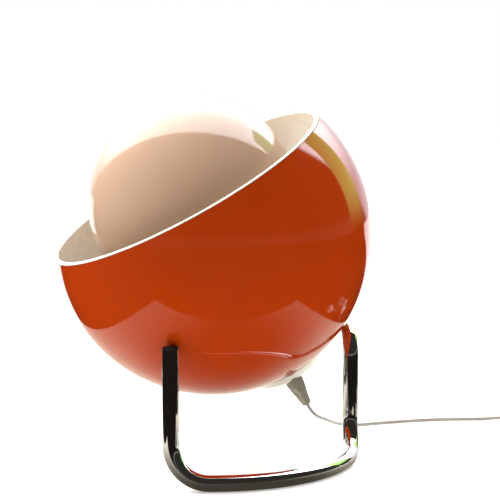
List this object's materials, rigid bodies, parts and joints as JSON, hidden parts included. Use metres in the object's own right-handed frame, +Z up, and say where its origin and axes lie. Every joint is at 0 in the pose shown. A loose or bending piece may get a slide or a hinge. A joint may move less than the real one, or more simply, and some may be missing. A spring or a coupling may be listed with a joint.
{
  "type": "table lamp",
  "caption": "Ball table lamp: a glossy shell with a slanted opening holds an opal globe and turns in a bent tube cradle, with a corded inline switch and plug.",
  "frame": {"origin": "on the table, under the centre of the ball, which is the middle of the lamp's box seen from above", "axes": "+Z up, the opening leans towards -X and a little towards -Y, and the cord leaves towards +X"},
  "size_m": [0.545, 0.3323, 0.3445],
  "materials": {
    "orange_shell": "high gloss, slightly uneven",
    "cream_liner": "satin cream white",
    "opal_glass": "glossy opal white",
    "chrome": "polished chrome with light wear",
    "black_rubber": "matt",
    "beige_plastic": "satin grey beige",
    "zinc_steel": "zinc plated",
    "white_metal": "white paint",
    "brass": "plain brass",
    "ceramic": "white steatite",
    "clear_glass": "clear",
    "black_plastic": "dark phenolic",
    "cord_sheath": "pale grey flexible sheath",
    "white_plastic": "off-white moulded"
  },
  "bodies": {
    "stand": {"stand_tube": "chrome", "top_plug": "black_rubber", "foot_plug": "black_rubber", "rest_sleeve_1": "black_rubber", "rest_sleeve_2": "black_rubber", "cord_run": "cord_sheath", "cord_link": "cord_sheath", "cord_coil": "cord_sheath", "coil_tie": "black_plastic", "cord_tail": "cord_sheath", "switch_base": "white_plastic", "switch_cover": "white_plastic", "rocker_pin": "zinc_steel", "switch_contact_in": "brass", "switch_contact_out": "brass", "plug_body": "white_plastic", "plug_pin_1": "brass", "plug_pin_2": "brass"},
    "ball": {"outer_shell": "orange_shell", "inner_liner": "cream_liner", "pole_plate": "chrome", "cord_cone": "beige_plastic", "threaded_rod": "zinc_steel", "wall_washer": "zinc_steel", "wall_nut": "zinc_steel", "lower_gallery_nut": "zinc_steel", "gallery_cup": "white_metal", "upper_gallery_nut": "zinc_steel", "holder_cap": "black_plastic", "holder_body": "black_plastic", "contact_block": "ceramic", "screw_shell": "brass", "centre_contact": "brass", "inner_cable": "cord_sheath", "gallery_screw_1": "brass", "gallery_screw_2": "brass", "gallery_screw_3": "brass", "cord_drop": "cord_sheath"},
    "globe": {"opal_globe": "opal_glass"},
    "bulb": {"bulb_contact": "brass", "bulb_cap": "brass", "bulb_glass": "clear_glass", "bulb_stem": "clear_glass"},
    "rocker": {"switch_rocker": "black_plastic"}
  },
  "joints": [
    {"name": "ball_tilt", "type": "hinge", "parent": "stand", "child": "ball", "pos_m": [0, 0, 0.214], "axis": [-0.2857, 0.9583, 0], "range_deg": [-4, 20], "deforming": ["cord_drop"]},
    {"name": "globe_lift", "type": "slide", "parent": "ball", "child": "globe", "axis": [-0.4704, -0.1402, 0.8712], "range_m": [0, 0.14]},
    {"name": "bulb_turn", "type": "hinge", "parent": "ball", "child": "bulb", "pos_m": [0, 0, 0.214], "axis": [-0.4704, -0.1402, 0.8712], "range_deg": [0, 360]},
    {"name": "rocker_press", "type": "hinge", "parent": "stand", "child": "rocker", "pos_m": [0.342, 0.17, 0.0136], "axis": [0, -1, 0], "range_deg": [0, 16]}
  ]
}
